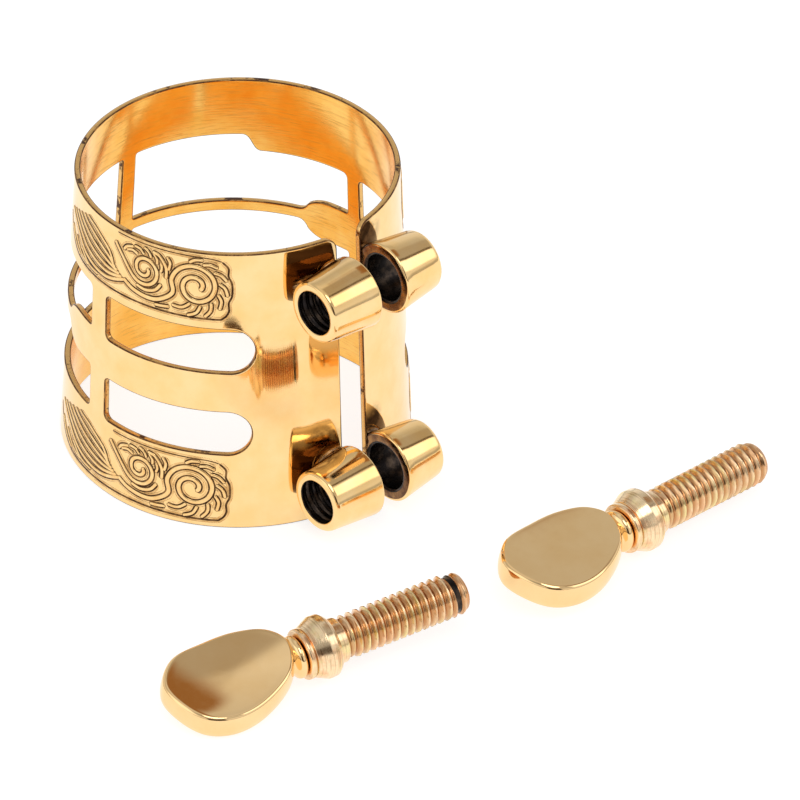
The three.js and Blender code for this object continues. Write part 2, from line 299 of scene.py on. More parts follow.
POST_REFLECTIONS = [  # x from the band's centre, height, reach, strength
    (-2.9, 6.7, 1.9, 0.85), (-1.9, 0.9, 1.4, 0.75), (-2.2, 23.2, 2.0, 0.35), (1.9, 6.6, 1.6, 0.75),
    (2.1, 23.3, 1.9, 0.75),
]


def polished_gold(centre):
    """Lacquered, buffed gold: nearly a mirror, with hairlines and specks, and dark patches beside the
    posts that are painted reflections of the posts' shaded sides.
    """
    n = Nodes("polished_gold_surface")
    clouds = n.noise(0.35, 4)
    colour = n.mix(n.spread(clouds, 0.35, 0.7), GOLD, DEEP_GOLD)
    specks = n.spread(n.noise(1.6, 8, 0.75), 0.73, 0.78)
    colour = n.mix(specks, colour, (0.45, 0.25, 0.08))
    split = n.add("ShaderNodeSeparateXYZ")
    n.link(n.coordinates, split.inputs[0])
    front = n.spread(split.outputs["Y"], (centre[1] - 8) * MM, (centre[1] - 9) * MM)
    upright = n.add("ShaderNodeCombineXYZ")
    n.link(split.outputs["X"], upright.inputs["X"])
    n.link(split.outputs["Z"], upright.inputs["Z"])
    mottle = n.noise(0.75, 6, 0.65)
    # Painted reflections of the posts' shaded sides, mottled, on the front plates only.
    for x, height, reach, strength in POST_REFLECTIONS:
        away = n.add("ShaderNodeVectorMath", operation="DISTANCE")
        n.link(upright.outputs["Vector"], away.inputs[0])
        away.inputs[1].default_value = ((centre[0] + x) * MM, 0, height * MM)
        near = n.spread(away.outputs["Value"], reach * MM, 0.35 * reach * MM, 0.0, strength)
        patchy = n.add("ShaderNodeMath", operation="MULTIPLY")
        n.link(near, patchy.inputs[0])
        n.link(n.spread(mottle, 0.36, 0.58), patchy.inputs[1])
        here = n.add("ShaderNodeMath", operation="MULTIPLY")
        n.link(patchy.outputs["Value"], here.inputs[0])
        n.link(front, here.inputs[1])
        colour = n.mix(here.outputs["Value"], colour, PAINTED_SHADE_BROWN)
    hairlines = n.noise(2.0, 3, 0.6, (0.12, 0.12, 9.0))
    roughness = n.spread(n.noise(0.8, 5), 0.3, 0.75, 0.03, 0.085)
    ripple = n.bump(clouds, 0.08, 0.03)
    return n.finish(colour, roughness, n.bump(hairlines, 0.05, 0.004, ripple))


def brushed_inside_painted_bounce():
    """The inside of the sheet: brushed round the band, its gold deepened to orange as painted bounce
    light reflected round the ring, with dark marks left by plating.
    """
    n = Nodes("brushed_inside_painted_bounce_surface")
    patches = n.spread(n.noise(0.22, 4, 0.6), 0.42, 0.62)
    # Painted reflection: both oranges stand for light bounced round inside the ring, deeper than the
    # outer gold.
    colour = n.mix(patches, (0.98, 0.58, 0.15), (0.93, 0.47, 0.08))
    marks = n.spread(n.noise(0.9, 9, 0.78), 0.70, 0.74)
    colour = n.mix(marks, colour, (0.20, 0.09, 0.03))
    strokes = n.noise(1.0, 5, 0.65, (0.5, 0.5, 9.0))
    colour = n.mix(n.spread(strokes, 0.50, 0.72, 0.0, 0.5), colour, (0.52, 0.23, 0.05))
    roughness = n.spread(strokes, 0.3, 0.7, 0.08, 0.22)
    return n.finish(colour, roughness, n.bump(strokes, 0.22, 0.012))


def sheared_edge():
    """The sheet's sheared edges between their corners: rubbed gold with dark patches."""
    n = Nodes("sheared_edge_surface")
    dark = n.spread(n.noise(0.45, 7, 0.7), 0.55, 0.60)
    colour = n.mix(dark, (0.80, 0.48, 0.17), (0.10, 0.05, 0.03))
    roughness = n.spread(n.noise(3.0, 4), 0.3, 0.7, 0.16, 0.34)
    return n.finish(colour, roughness, n.bump(n.noise(6.0, 3), 0.15, 0.01))


def tarnished_corner():
    """The dark line of tarnish along the corners of every cut."""
    n = Nodes("tarnished_corner_surface")
    rubbed = n.spread(n.noise(0.9, 6, 0.7), 0.48, 0.66)
    colour = n.mix(rubbed, (0.11, 0.05, 0.025), (0.45, 0.24, 0.08))
    roughness = n.spread(n.noise(3.0, 4), 0.3, 0.7, 0.22, 0.42)
    return n.finish(colour, roughness, n.bump(n.noise(6.0, 3), 0.15, 0.01))


def scroll_ridge():
    """Raised lines of the engraving, softly worn."""
    n = Nodes("scroll_ridge_surface")
    worn = n.spread(n.noise(1.4, 5), 0.35, 0.7)
    colour = n.mix(worn, (0.99, 0.68, 0.31), (0.90, 0.54, 0.20))
    roughness = n.spread(n.noise(4.0, 4), 0.3, 0.7, 0.14, 0.28)
    return n.finish(colour, roughness, n.bump(n.noise(5.0, 4), 0.12, 0.008))


def scroll_groove():
    """Tarnish lying in the grooves on both sides of each raised line."""
    n = Nodes("scroll_groove_surface")
    thin = n.spread(n.noise(1.1, 6, 0.65), 0.46, 0.66)
    colour = n.mix(thin, (0.06, 0.028, 0.012), (0.27, 0.14, 0.05))
    roughness = n.spread(n.noise(5.0, 3), 0.3, 0.7, 0.30, 0.5)
    return n.finish(colour, roughness, n.bump(n.noise(9.0, 3), 0.2, 0.006))


def scroll_stain():
    """A thinner brown film that fades the gold beside the grooves."""
    n = Nodes("scroll_stain_surface")
    thin = n.spread(n.noise(0.8, 6, 0.65), 0.40, 0.62)
    colour = n.mix(thin, (0.66, 0.38, 0.14), (0.98, 0.66, 0.30))
    roughness = n.spread(n.noise(3.0, 4), 0.3, 0.7, 0.12, 0.26)
    return n.finish(colour, roughness, n.bump(n.noise(6.0, 3), 0.08, 0.006))


def post_gold(name, plates_y):
    """Turned and polished gold, darkened beyond the plates' y: painted shade where the post meets its
    plate.
    """
    n = Nodes(name)
    clouds = n.noise(0.5, 4)
    colour = n.mix(n.spread(clouds, 0.35, 0.7), GOLD, DEEP_GOLD)
    split = n.add("ShaderNodeSeparateXYZ")
    n.link(n.coordinates, split.inputs[0])
    # Painted shade: the post turns dark brown within about a millimetre of its plate, along a wandering
    # edge.
    wander = n.add("ShaderNodeMath", operation="MULTIPLY_ADD")
    n.link(n.noise(0.6, 5), wander.inputs[0])
    wander.inputs[1].default_value = 0.9 * MM
    n.link(split.outputs["Y"], wander.inputs[2])
    plate_shade = n.spread(wander.outputs["Value"], (plates_y - 1.1) * MM, (plates_y - 0.1) * MM)
    colour = n.mix(plate_shade, colour, PAINTED_SHADE_BROWN)
    rings = n.noise(3.0, 4, 0.6, (6.0, 0.05, 0.05))
    roughness = n.spread(rings, 0.3, 0.7, 0.06, 0.15)
    return n.finish(colour, roughness, n.bump(rings, 0.08, 0.004))


def gap_face():
    """The ends of the posts that face each other: turned rings, brown with tarnish."""
    n = Nodes("gap_face_surface")
    worn = n.spread(n.noise(0.8, 5, 0.6), 0.42, 0.66)
    colour = n.mix(worn, (0.13, 0.06, 0.03), (0.40, 0.21, 0.08))
    roughness = n.spread(n.noise(3.0, 5), 0.3, 0.7, 0.14, 0.32)
    return n.finish(colour, roughness, n.bump(n.noise(5.0, 3), 0.12, 0.008))


def bore_grime_and_shade():
    """The insides of the bores, near black: grime together with painted shade of the deep bores."""
    n = Nodes("bore_grime_and_shade_surface")
    grime_and_shade = n.spread(n.noise(1.2, 5), 0.45, 0.7)
    colour = n.mix(grime_and_shade, (0.022, 0.018, 0.017), (0.10, 0.07, 0.05))
    roughness = n.spread(n.noise(4.0, 4), 0.3, 0.7, 0.22, 0.42)
    return n.finish(colour, roughness, n.bump(n.noise(6.0, 3), 0.15, 0.01))


def solder_metal():
    """Brazed joints: gold plated over solder, with grey and brown stains."""
    n = Nodes("solder_surface")
    stains = n.spread(n.noise(0.9, 7, 0.7), 0.46, 0.60)
    colour = n.mix(stains, (0.42, 0.23, 0.09), (0.11, 0.06, 0.035))
    grey = n.spread(n.noise(1.7, 5, 0.6), 0.58, 0.66)
    colour = n.mix(grey, colour, GREY_SOLDER)
    lumps = n.noise(2.2, 5)
    roughness = n.spread(lumps, 0.3, 0.7, 0.22, 0.45)
    return n.finish(colour, roughness, n.bump(lumps, 0.5, 0.05))


def turned_brass():
    """Collars and rods: turned rings round the axis, patchy lacquer, and painted shade that darkens the
    thread roots and anything as thin.
    """
    n = Nodes("turned_brass_surface")
    pinkish = n.spread(n.noise(0.55, 5, 0.65), 0.42, 0.60)
    colour = n.mix(pinkish, (1.0, 0.77, 0.48), (0.90, 0.53, 0.29))
    olive = n.spread(n.noise(0.42, 4, 0.6), 0.50, 0.64)
    colour = n.mix(olive, colour, (0.90, 0.74, 0.36))
    rings = n.noise(2.4, 5, 0.65, (3.2, 0.12, 0.12))
    colour = n.mix(n.spread(rings, 0.50, 0.66, 0.0, 0.6), colour, (0.40, 0.22, 0.10))
    # Painted shade: the colour darkens towards the thread roots, by distance from the screw's axis.
    across = n.add("ShaderNodeVectorMath", operation="MULTIPLY")
    n.link(n.coordinates, across.inputs[0])
    across.inputs[1].default_value = (0, 1, 1)
    radius = n.add("ShaderNodeVectorMath", operation="LENGTH")
    n.link(across.outputs["Vector"], radius.inputs[0])
    thread_root_shade = n.spread(radius.outputs["Value"], (ROOT + 0.03) * MM, (CREST - 0.07) * MM, 1.0, 0.0)
    colour = n.mix(thread_root_shade, colour, (0.56, 0.27, 0.11))
    roughness = n.spread(rings, 0.3, 0.7, 0.10, 0.30)
    return n.finish(colour, roughness, n.bump(rings, 0.38, 0.014))


def paddle_gold():
    """The thumb paddles: buffed by fingers, with fine criss-cross scratches."""
    n = Nodes("paddle_gold_surface")
    clouds = n.noise(0.3, 5)
    colour = n.mix(n.spread(clouds, 0.35, 0.7), (0.99, 0.69, 0.35), (0.95, 0.63, 0.29))
    scratches = n.noise(1.5, 6, 0.7, (0.5, 7.0, 1.0))
    across = n.noise(1.2, 6, 0.7, (6.0, 0.6, 1.0))
    roughness = n.spread(n.noise(1.5, 6), 0.3, 0.7, 0.035, 0.10)
    first = n.bump(scratches, 0.04, 0.004)
    return n.finish(colour, roughness, n.bump(across, 0.03, 0.004, first))


# ---- The band ----


def band_point(s, z, offset):
    """Points on the band, from arc length in mm, height and distance outside its outer face."""
    s, z, offset = np.broadcast_arrays(np.array(s, float), np.array(z, float), np.array(offset, float))
    angle = s / ARC
    from_split = np.minimum(angle % 360, 360 - angle % 360)
    bend = np.radians(np.maximum(0, PLATE_FLAT - from_split))
    radius = (BOTTOM_RADIUS + offset) / np.cos(bend)
    turn = np.radians(angle - 90)
    scale = 1 - (1 - TOP_RADIUS / BOTTOM_RADIUS) * z / HEIGHT
    x, y = radius * np.cos(turn) * scale, radius * np.sin(turn) * scale
    bulge = SPINE_BULGE / BOTTOM_RADIUS * (1 - z / HEIGHT)
    y = np.where(y > 0, y * (1 + bulge), y)
    return np.stack([x, y, z], axis=-1)


def plate_face(x, z):
    """The y of the outer face of the plates in front of the band, at x and z."""
    radius = BOTTOM_RADIUS * (1 - (1 - TOP_RADIUS / BOTTOM_RADIUS) * z / HEIGHT)
    flat = math.radians(PLATE_FLAT)
    x = np.abs(x)
    plane = -(radius - x * math.sin(flat)) / math.cos(flat)
    rounded = -np.sqrt(np.maximum(radius**2 - x**2, 0))
    return np.where(x < radius * math.sin(flat), plane, rounded)


def slot_outline(edges, round_end, square_end):
    """A slot between two heights: one end round, the other square with small corners."""
    low, high = edges
    radius = (high - low) / 2
    start, end, corner = round_end * ARC + radius, square_end * ARC, SLOT_CORNER
    return (
        line((start, low), (end - corner, low))
        + arc((end - corner, low + corner), corner, -90, 0, 6)
        + line((end, low + corner), (end, high - corner))
        + arc((end - corner, high - corner), corner, 0, 90, 6)
        + line((end - corner, high), (start, high))
        + arc((start, low + radius), radius, 90, 270, 26)
    )


def window_outline(start, end, ring, waist, strap, leaf):
    """An opening of the back, between a ring and the strap, from a side bar to the spine."""
    begin, finish = start * ARC, end * ARC
    corner = math.copysign(SLOT_CORNER, ring - strap)
    full, turn, last = ((start + d) * ARC for d in (LEAF_FULL * 0.7, LEAF_END - 4, LEAF_END))
    shoulder = (start + LEAF_FULL + 2) * ARC
    middle = (leaf + strap) / 2
    step_from, step_to = STEP_START * ARC, STEP_END * ARC
    step_middle = (step_from + step_to) / 2
    small = 0.25 * corner / abs(corner)
    points = (
        bezier((begin, leaf + small), (begin, leaf), (begin + 0.25, leaf), count=4)
        + line((begin + 0.25, leaf), (full, leaf))
        + bezier((full, leaf), (shoulder, leaf), (turn, middle), count=8)
        + bezier((turn, middle), (turn + 0.3, strap), (last, strap), count=6)
        + line((last, strap), (finish - 0.25, strap))
        + bezier((finish - 0.25, strap), (finish, strap), (finish, strap + small), count=4)
        + line((finish, strap + small), (finish, waist - small))
        + bezier((finish, waist - small), (finish, waist), (finish - 0.25, waist), count=4)
        + line((finish - 0.25, waist), (step_to, waist))
        + bezier(
            (step_to, waist), (step_middle, waist), (step_middle, ring), (step_from, ring), count=12
        )
        + line((step_from, ring), (begin + SLOT_CORNER, ring))
        + bezier((begin + SLOT_CORNER, ring), (begin, ring), (begin, ring - corner), count=6)
        + line((begin, ring - corner), (begin, leaf + small))
    )
    return points if corner > 0 else points[::-1]


def to_left(points):
    """The same outline on the left half, turning the same way round."""
    return [np.array((AROUND - p[0], p[1])) for p in reversed(points)]


def band_outlines():
    """The sheet's own outline and its openings, flattened, each counterclockwise."""
    start, end, corner = PLATE_EDGE * ARC, AROUND - PLATE_EDGE * ARC, EDGE_CORNER
    border = (
        line((start + corner, 0), (end - corner, 0))
        + arc((end - corner, corner), corner, -90, 0, 8)
        + line((end, corner), (end, HEIGHT - corner))
        + arc((end - corner, HEIGHT - corner), corner, 0, 90, 8)
        + line((end - corner, HEIGHT), (start + corner, HEIGHT))
        + arc((start + corner, HEIGHT - corner), corner, 90, 180, 8)
        + line((start, HEIGHT - corner), (start, corner))
        + arc((start + corner, corner), corner, 180, 270, 8)
    )
    openings = []
    for side in ("right", "left"):
        found = [slot_outline(edges, round_end, SLOT_END[side]) for edges, round_end in SLOT_ROWS]
        for i in (0, 1):
            found.append(
                window_outline(
                    BAR_END[side], SPINE_EDGE[side], RING_SHOULDER[i], RING_WAIST[i], STRAP[i], LEAF[i]
                )
            )
        openings += found if side == "right" else [to_left(outline) for outline in found]
    return [np.array(border)] + [np.array(outline) for outline in openings]


def outward_normals(loop, is_border):
    """Unit normals of a counterclockwise loop that point out of the metal."""
    ahead, behind = np.roll(loop, -1, axis=0), np.roll(loop, 1, axis=0)
    along = ahead - behind
    along /= np.linalg.norm(along, axis=1)[:, None]
    right = np.stack([along[:, 1], -along[:, 0]], axis=1)
    return right if is_border else -right


def inside(points, loop):
    """Which points lie inside a closed loop."""
    x, y = points[:, 0], points[:, 1]
    result = np.zeros(len(points), bool)
    for (x1, y1), (x2, y2) in zip(loop, np.roll(loop, -1, axis=0)):
        if y1 == y2:
            continue
        crosses = (y1 > y) != (y2 > y)
        result ^= crosses & (x < (x2 - x1) * (y - y1) / (y2 - y1) + x1)
    return result


def in_metal(points, loops):
    """Which points lie inside the border and outside every opening."""
    result = inside(points, loops[0])
    for loop in loops[1:]:
        result &= ~inside(points, loop)
    return result


def flat_band_mesh(loops, normals):
    """Triangles that fill the sheet's flattened shape. Returns points, triangles and edge rings."""
    edge = [loop - normal * EDGE_ROUND for loop, normal in zip(loops, normals)]
    hold = [loop - normal * (EDGE_ROUND + 0.1) for loop, normal in zip(loops, normals)]
    columns = np.arange(PLATE_EDGE * ARC, AROUND - PLATE_EDGE * ARC, GRID)
    rows = np.arange(GRID / 2, HEIGHT, GRID)
    grid = np.stack(np.meshgrid(columns, rows), axis=-1).reshape(-1, 2)
    margin = [loop - normal * 0.35 for loop, normal in zip(loops, normals)]
    grid = grid[in_metal(grid, margin)]
    points, edges, starts = [], [], []
    for group in (edge, hold):
        for loop in group:
            first = len(points)
            starts.append(first)
            points.extend(loop)
            edges += [(first + i, first + (i + 1) % len(loop)) for i in range(len(loop))]
    points.extend(grid)
    made = delaunay_2d_cdt([Vector(p) for p in points], edges, [], 0, 1e-5)
    flat = np.array([(v[0], v[1]) for v in made[0]])
    triangles = np.array([face for face in made[2]])
    centres = flat[triangles].mean(axis=1)
    triangles = triangles[in_metal(centres, edge)]
    new_index = {old: new for new, olds in enumerate(made[3]) for old in olds}
    rings = [[new_index[first + i] for i in range(len(loop))] for first, loop in zip(starts, edge)]
    return flat, triangles, rings


def band_piece(centre, surfaces):
    """The whole sheet: both faces and its rounded edges, as one closed mesh."""
    loops = band_outlines()
    normals = [outward_normals(loop, i == 0) for i, loop in enumerate(loops)]
    flat, triangles, rings = flat_band_mesh(loops, normals)
    count = len(flat)
    outer = band_point(flat[:, 0], flat[:, 1], 0)
    inner = band_point(flat[:, 0], flat[:, 1], -THICKNESS)
    points = [outer, inner]
    faces = [tuple(t) for t in triangles] + [tuple(t[::-1] + count) for t in triangles]
    kinds = [0] * len(triangles) + [2] * len(triangles)
    corner = EDGE_ROUND * (1 - math.sqrt(0.5))
    profile = [
        (corner, -corner), (0, -EDGE_ROUND), (0, EDGE_ROUND - THICKNESS), (corner, corner - THICKNESS),
    ]
    total = 2 * count
    for loop, normal, ring in zip(loops, normals, rings):
        rows = [ring]
        for inset, offset in profile:
            at = loop - normal * inset
            points.append(band_point(at[:, 0], at[:, 1], offset))
            rows.append(list(range(total, total + len(loop))))
            total += len(loop)
        rows.append([i + count for i in ring])
        border = loop is loops[0]
        for row, (a, b) in enumerate(zip(rows, rows[1:])):
            for i in range(len(loop)):
                j = (i + 1) % len(loop)
                quad = (a[j], a[i], b[i], b[j])
                faces.append(quad if border else quad[::-1])
                kinds.append(1 if row == 2 else 3)
    points = np.concatenate(points) + centre
    return make_object("band", points, faces, surfaces, kinds)


# ---- The engraving ----

CARTOUCHES = {"top": (18.7, 0.0), "bottom": (0.62, 0.3)}  # height of the lower edge, shift away
CARTOUCHE_START = 9.8  # from the centre of the split, along the band
LINE_LAYERS = [(0, 0.07, 0), (0.22, 0.018, 1), (0.55, 0.009, 2)]  # added width, height, surface

# Lines of one cartouche: distance from its end by the split, and height above its lower edge.
FRAME_LINE = [
    (18.6, 2.6), (17.6, 1.2), (16.0, 0.35), (13.5, 0.05), (8.0, 0.05), (1.7, 0.0), (0.75, 0.15),
    (0.3, 0.75), (0.3, 1.5), (0.05, 2.1), (0.0, 2.7), (0.05, 3.3), (0.3, 3.9), (0.3, 4.6), (0.8, 5.15),
]
TOP_LINE = [(0.8, 5.15), (1.6, 5.35), (3.0, 5.42), (6.5, 5.46), (10.0, 5.46)]
LEAVES = 6
SHORT_LEAVES = 3


def polar(centre, reach, degrees):
    """The point at a distance and direction from a centre."""
    angle = math.radians(degrees)
    return (centre[0] + reach * math.cos(angle), centre[1] + reach * math.sin(angle))


def curl_reach(radius, share):
    """How far a curl is from its centre, part of the way along it."""
    return radius * (1 - 0.8 * share)


def curl(centre, radius, start, turns):
    """A spiral winding inwards from an angle in degrees; negative turns wind clockwise."""
    count = int(10 * abs(turns)) + 1
    shares = [i / count for i in range(count + 1)]
    return [polar(centre, curl_reach(radius, share), start + 360 * turns * share) for share in shares]


def fringe(centre, radius, start, turns, first, step, count):
    """Short leaves that stand off the outside of a curl, longer as the curl winds away from them."""
    leaves = []
    for i in range(count):
        degrees = first + step * i
        reach = curl_reach(radius, (degrees - start) / (360 * turns)) + 0.3
        length = 0.4 + 0.12 * i
        lean = math.copysign(14, turns)
        tips = [(0.0, 0), (0.6, 1), (1.0, 2.2)]
        leaves.append([polar(centre, reach + length * out, degrees + lean * k) for out, k in tips])
    return leaves


def scroll_lines():
    """The raised lines of one cartouche: two curls on a stem, and leaves that fan away from it."""
    big = ((2.9, 2.75), 2.1, -25, 1.7)
    small = ((7.3, 3.2), 1.45, -40, -1.5)
    lines = [
        (0.34, [(9.4, 1.6), (8.4, 1.05), (7.0, 0.8), (5.9, 1.0)] + curl(*big)),
        (0.30, [(10.3, 4.6), (9.5, 3.6)] + curl(*small)),
        (0.26, [(5.35, 2.9), (5.35, 3.9), (5.9, 4.8), (6.6, 5.0)]),
        (0.24, [(5.15, 3.7), (5.0, 4.4), (5.3, 4.95)]),
        (0.24, [(8.3, 4.85), (9.0, 4.6), (9.35, 4.15)]),
        (0.26, [(8.1, 1.6), (7.2, 1.4), (6.3, 1.7), (5.75, 2.4)]),
        (0.24, [(5.0, 0.55), (5.7, 0.45), (6.4, 0.4)]),
    ]
    lines += [(0.24, leaf) for leaf in fringe(*big, 75, 30, 8)]
    lines += [(0.22, leaf) for leaf in fringe(*small, -185, -28, 5)]
    for i in range(LEAVES):
        leaf = [
            (9.3 + 0.25 * i, 1.5 + 0.15 * i),
            (11.5 - 0.1 * i, 0.8 + 0.5 * i),
            (14.2 - 0.3 * i, 1.25 + 0.62 * i),
            (16.4 - 0.5 * i, 2.6 + 0.42 * i),
            (17.9 - 0.75 * i, 3.4 + 0.3 * i),
        ]
        lines.append((0.3 - 0.01 * i, leaf))
    for i in range(SHORT_LEAVES):
        leaf = [
            (12.4 + 1.5 * i, 0.45), (13.9 + 1.4 * i, 0.6 + 0.2 * i), (15.2 + 1.3 * i, 1.35 + 0.3 * i),
        ]
        lines.append((0.22, leaf))
    return lines


def ribbon(path, width, height, place, flat):
    """A rounded line on the band, or a flat stain of its shape. Returns points and faces."""
    profile = [-1.0, -0.8, -0.4, 0.0, 0.4, 0.8, 1.0]
    along = np.gradient(path, axis=0)
    along /= np.linalg.norm(along, axis=1)[:, None]
    across = np.stack([-along[:, 1], along[:, 0]], axis=1)
    lengths = np.concatenate([[0], np.cumsum(np.linalg.norm(np.diff(path, axis=0), axis=1))])
    from_end = np.minimum(lengths, lengths[-1] - lengths)
    swell = np.sqrt(np.clip(1 - (1 - np.clip(from_end / (width / 2), 0, 1)) ** 2, 0.02, 1))
    points, faces = [], []
    for p, n, k in zip(path, across, swell):
        row = []
        for t in profile:
            rise = height if flat else height * k * math.sqrt(1 - t * t * 0.98)
            row.append((*(p + n * t * width / 2 * k), rise))
        row.append((*(p + n * width / 2 * k), -0.05))
        row.append((*(p - n * width / 2 * k), -0.05))
        points.extend(row)
    size = len(profile) + 2
    for i in range(len(path) - 1):
        faces += ring_faces((i + 1) * size, i * size, size)
    faces += [tuple(range(size)), tuple(range((len(path) - 1) * size, len(path) * size))[::-1]]
    return place(np.array(points)), faces


def cartouche_piece(name, side, level, centre, surfaces):
    """One engraved cartouche: a frame line and its scrolls, wrapped on the band."""
    lift, shift = CARTOUCHES[level]

    def place(flat):
        """Points on the band, from distance, height in the cartouche and rise off the sheet."""
        s = CARTOUCHE_START + shift + flat[:, 0]
        if side == "left":
            s = AROUND - s
        return band_point(s, lift + flat[:, 1], flat[:, 2]) + centre

    points, faces, kinds = [], [], []
    total = 0
    lines = [(width, corners, LINE_LAYERS) for width, corners in scroll_lines()]
    lines += [(-0.06, FRAME_LINE, LINE_LAYERS[1:]), (-0.13, TOP_LINE, LINE_LAYERS[1:])]
    for width, corners, layers in lines:
        path = smooth_curve(corners, 0.11)
        for wider, rise, kind in layers:
            made, quads = ribbon(path, width + wider, rise, place, kind > 0)
            if side == "right":
                quads = [quad[::-1] for quad in quads]
            points.append(made)
            faces += [tuple(i + total for i in quad) for quad in quads]
            kinds += [kind] * len(quads)
            total += len(made)
    return make_object(name, np.concatenate(points), faces, surfaces, kinds)


# ---- Posts ----


def thread_wave(along, turns):
    """0 at the root and 1 at the crest of a thread."""
    phase = (along / PITCH + turns / (2 * math.pi)) % 1
    wave = 1 - np.abs(2 * phase - 1)
    return wave**1.7


def post_piece(name, side, level, centre, surfaces):
    """A turned post, bored through, seated on its plate. The left ones are threaded inside."""
    length, end_radius, bore = POST_SHAPE[side]
    height, reach = POST_LEVEL[level]
    rounding = [
        (0.0, bore + 0.22), (0.0, GAP_RADIUS - 0.22), (0.03, GAP_RADIUS - 0.1),
        (0.1, GAP_RADIUS - 0.02), (0.2, GAP_RADIUS - 0.01),
    ]
    taper = [
        (0.2 + (length - 0.55) * i / 6, GAP_RADIUS - 0.01 - (GAP_RADIUS - end_radius - 0.01) * i / 6)
        for i in range(1, 7)
    ]
    mouth = [
        (length - 0.2, end_radius - 0.04), (length - 0.08, end_radius - 0.12),
        (length - 0.02, end_radius - 0.22), (length, end_radius - 0.3), (length, bore + 0.16),
        (length - 0.04, bore + 0.06), (length - 0.14, bore),
    ]
    start, finish = length - 0.3, 0.3
    rows = int((start - finish) / (PITCH / 10))
    inside_rows = [(start - (start - finish) * i / rows, bore) for i in range(rows + 1)]
    profile = rounding + taper + mouth + inside_rows + [(0.14, bore), (0.04, bore + 0.08)]
    outside_rows = len(rounding) + len(taper) + len(mouth) - 1
    segments = POST_SEGMENTS

    def radius_at(along, radius, turns):
        if side == "right" or radius != bore or not finish - 1e-6 <= along <= start + 1e-6:
            return np.full(segments, radius)
        return bore + BORE_THREAD_DEPTH * thread_wave(along, turns)

    points, faces = bent_tube(profile, segments, True, radius_at)
    kinds = [0 if i // segments < outside_rows - 1 else 1 for i in range(len(faces))]
    kinds[:segments] = [2] * segments
    first_mouth = (len(rounding) + len(taper) - 1) * segments
    last_mouth = (outside_rows - 1) * segments
    kinds[first_mouth:last_mouth] = [3] * (last_mouth - first_mouth)
    x, y, z = points.T
    sign = -1 if side == "left" else 1
    x = sign * (GAP_FACE + x)
    y = -reach - y
    z = height + z
    y = np.minimum(y, plate_face(x, z) - 0.02)
    faces = [face[::-1] for face in faces] if sign > 0 else faces
    return make_object(name, np.stack([x, y, z], axis=1) + centre, faces, surfaces, kinds)


def fillet_piece(name, side, level, centre, surface):
    """Solder drawn into the corner between a post and its plate, above and below the post."""
    length, end_radius, _ = POST_SHAPE[side]
    height, reach = POST_LEVEL[level]
    sign = -1 if side == "left" else 1
    points, faces = [], []
    steps, curve = 30, 5
    for z_sign in (-1, 1):
        first = len(points)
        for i in range(steps + 1):
            along = 0.12 + (length - 1.1) * i / steps
            body = math.sin(math.pi * (0.12 + 0.76 * i / steps))
            x = sign * (GAP_FACE + along)
            radius = GAP_RADIUS + (end_radius - GAP_RADIUS) * along / length
            sag = reach + float(plate_face(x, height))
            half = math.sqrt(max(radius**2 - sag**2, 0.04))
            spread = 0.32 * body * (1 + 0.25 * math.sin(3.1 * along + 2 * z_sign + reach))
            climb = math.asin(max(-1, min(1, sag / radius))) - 0.3 * body
            top = (-reach + radius * math.sin(climb), radius * math.cos(climb))
            foot = (float(plate_face(x, height + z_sign * (half + spread))), half + spread)
            root = (float(plate_face(x, height)) + 0.05, half - 0.1)
            for k in range(curve + 1):
                t = k / curve
                corner = (root[0] - 0.06, half + 0.02)
                y = (1 - t) ** 2 * top[0] + 2 * t * (1 - t) * corner[0] + t * t * (foot[0] - 0.01)
                z = (1 - t) ** 2 * top[1] + 2 * t * (1 - t) * corner[1] + t * t * foot[1]
                points.append((x, y, height + z_sign * z))
            points.append((x, foot[0] + 0.04, height + z_sign * foot[1]))
            points.append((x, root[0], height + z_sign * root[1]))
        size = curve + 3
        for i in range(steps):
            quads = ring_faces(first + i * size, first + (i + 1) * size, size)
            faces += quads if sign * z_sign < 0 else [quad[::-1] for quad in quads]
        caps = [tuple(range(first, first + size))[::-1]]
        caps.append(tuple(range(first + steps * size, first + (steps + 1) * size)))
        faces += caps if sign * z_sign < 0 else [cap[::-1] for cap in caps]
    return make_object(name, np.array(points) + centre, faces, [surface])


# ---- Thumbscrews ----


def screw_matrix(place, centre):
    """Where a screw built along +X from its collar lies, in metres."""
    x, y, heading, rise, roll = place
    turn = (
        Matrix.Rotation(math.radians(heading), 4, "Z")
        @ Matrix.Rotation(math.radians(-rise), 4, "Y")
        @ Matrix.Rotation(math.radians(roll), 4, "X")
    )
    at = Vector((centre[0] + x, centre[1] + y, COLLAR_RADIUS + CLEARANCE)) * MM
    return Matrix.Translation(at) @ turn


def rod_piece(name, matrix, grooved_tip, surfaces):
    """The collar and its threaded rod."""
    collar = rounded_profile(COLLAR)
    rows = int((THREAD_END - THREAD_START) / (PITCH / 12))
    thread = [
        (THREAD_START + (THREAD_END - THREAD_START) * i / rows, CREST) for i in range(rows + 1)
    ]
    segments = ROD_SEGMENTS

    def radius_at(along, radius, turns):
        if radius != CREST or not THREAD_START <= along <= THREAD_END:
            return np.full(segments, radius)
        fade = min(1.0, (along - THREAD_START) / 0.5 + 0.25, (THREAD_END - along) / 0.4 + 0.15)
        depth = (CREST - ROOT) * thread_wave(along, turns)
        if grooved_tip and GROOVE_START < along < GROOVE_END:
            return np.full(segments, ROOT + 0.02)
        return (ROOT + depth) * fade + (ROOT + 0.12) * (1 - fade)

    points, faces = bent_tube(collar + thread + ROD_TIP, segments, False, radius_at)
    # The groove near the front screw's tip takes the near-black bore material: painted shade with some
    # grime.
    kinds = []
    for face in faces:
        along = points[face[0]][0]
        kinds.append(1 if grooved_tip and GROOVE_START - 0.05 < along < GROOVE_END else 0)
    return make_object(name, points, [face[::-1] for face in faces], surfaces, kinds, matrix)


